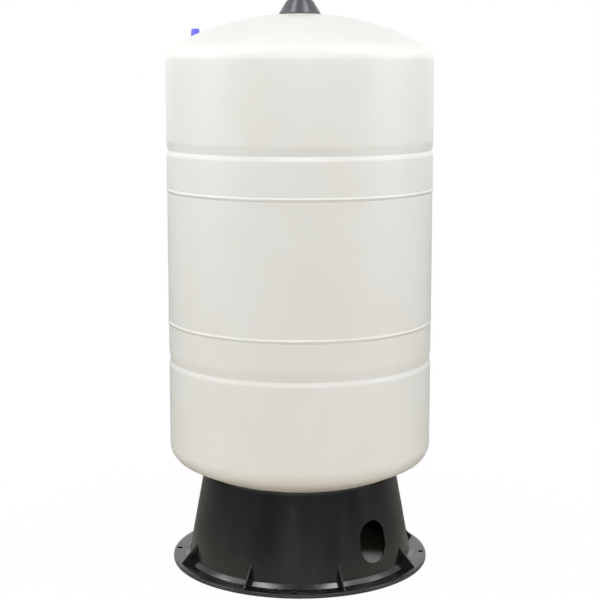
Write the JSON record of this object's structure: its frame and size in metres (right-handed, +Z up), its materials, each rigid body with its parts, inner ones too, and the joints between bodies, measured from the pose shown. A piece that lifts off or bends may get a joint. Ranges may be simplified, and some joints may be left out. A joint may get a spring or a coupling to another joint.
{
  "type": "expansion vessel",
  "caption": "Free-standing diaphragm expansion vessel: a welded steel tank on a moulded stand with a side pipe hole, an air valve and a crown cover.",
  "frame": {"origin": "on the floor, under the tank's vertical axis", "axes": "+Z up along the tank's axis; -Y towards the stand's pipe hole and the water connection"},
  "size_m": [0.5618, 0.5618, 1.196],
  "materials": {
    "painted_shell": "satin almond-white powder coat",
    "black_plastic": "moulded black polypropylene, semi-gloss",
    "grey_plastic": "moulded dark grey plastic, satin",
    "blue_plastic": "moulded blue plastic",
    "bare_steel": "zinc plated",
    "stainless": "machined and cast stainless",
    "brass": "machined",
    "black_rubber": "moulded butyl",
    "liner_plastic": "natural polypropylene"
  },
  "bodies": {
    "tank": {"base_stand": "black_plastic", "lower_head": "painted_shell", "centre_shell": "painted_shell", "upper_head": "painted_shell", "upper_girth_weld": "painted_shell", "lower_girth_weld": "painted_shell", "liner": "liner_plastic", "clamp_ring": "bare_steel", "diaphragm_rim": "black_rubber", "diaphragm_wall": "black_rubber", "inlet_neck": "stainless", "inlet_seal": "black_rubber", "inlet_nut": "stainless", "water_elbow": "stainless", "crown_boss": "bare_steel", "crown_plug_seal": "black_rubber", "crown_plug": "brass", "valve_boss": "bare_steel", "valve_stem_seal": "black_rubber", "valve_stem": "brass", "valve_core_body": "brass", "valve_spring": "bare_steel", "base_stud_1": "bare_steel", "base_nut_1": "bare_steel", "base_stud_2": "bare_steel", "base_nut_2": "bare_steel", "base_stud_3": "bare_steel", "base_nut_3": "bare_steel"},
    "top_cover": {"top_cover": "grey_plastic"},
    "valve_cap_lift": {"valve_cap_seal": "black_rubber"},
    "valve_cap": {"valve_cap": "blue_plastic"},
    "valve_pin": {"valve_pin": "brass"},
    "diaphragm": {"diaphragm_disc": "black_rubber"}
  },
  "joints": [
    {"name": "top_cover_pull", "type": "slide", "parent": "tank", "child": "top_cover", "axis": [0, 0, 1], "range_m": [0, 0.06]},
    {"name": "valve_cap_rise", "type": "slide", "parent": "tank", "child": "valve_cap_lift", "axis": [0, 0, 1], "range_m": [0, 0.00795]},
    {"name": "valve_cap_turn", "type": "hinge", "parent": "valve_cap_lift", "child": "valve_cap", "pos_m": [-0.13667, 0.17747, 1.12], "axis": [0, 0, 1], "range_deg": [0, 3600]},
    {"name": "valve_pin_press", "type": "slide", "parent": "tank", "child": "valve_pin", "axis": [0, 0, -1], "range_m": [0, 0.0012], "stiffness_N_per_m": 800, "springref_m": -0.001, "deforming": ["valve_spring"]},
    {"name": "diaphragm_travel", "type": "slide", "parent": "tank", "child": "diaphragm", "axis": [0, 0, 1], "range_m": [0, 0.5], "deforming": ["diaphragm_wall"]}
  ],
  "couplings": [
    {"joint": "valve_cap_rise", "follows": "valve_cap_turn", "m_per_rad": 0.00012637}
  ]
}
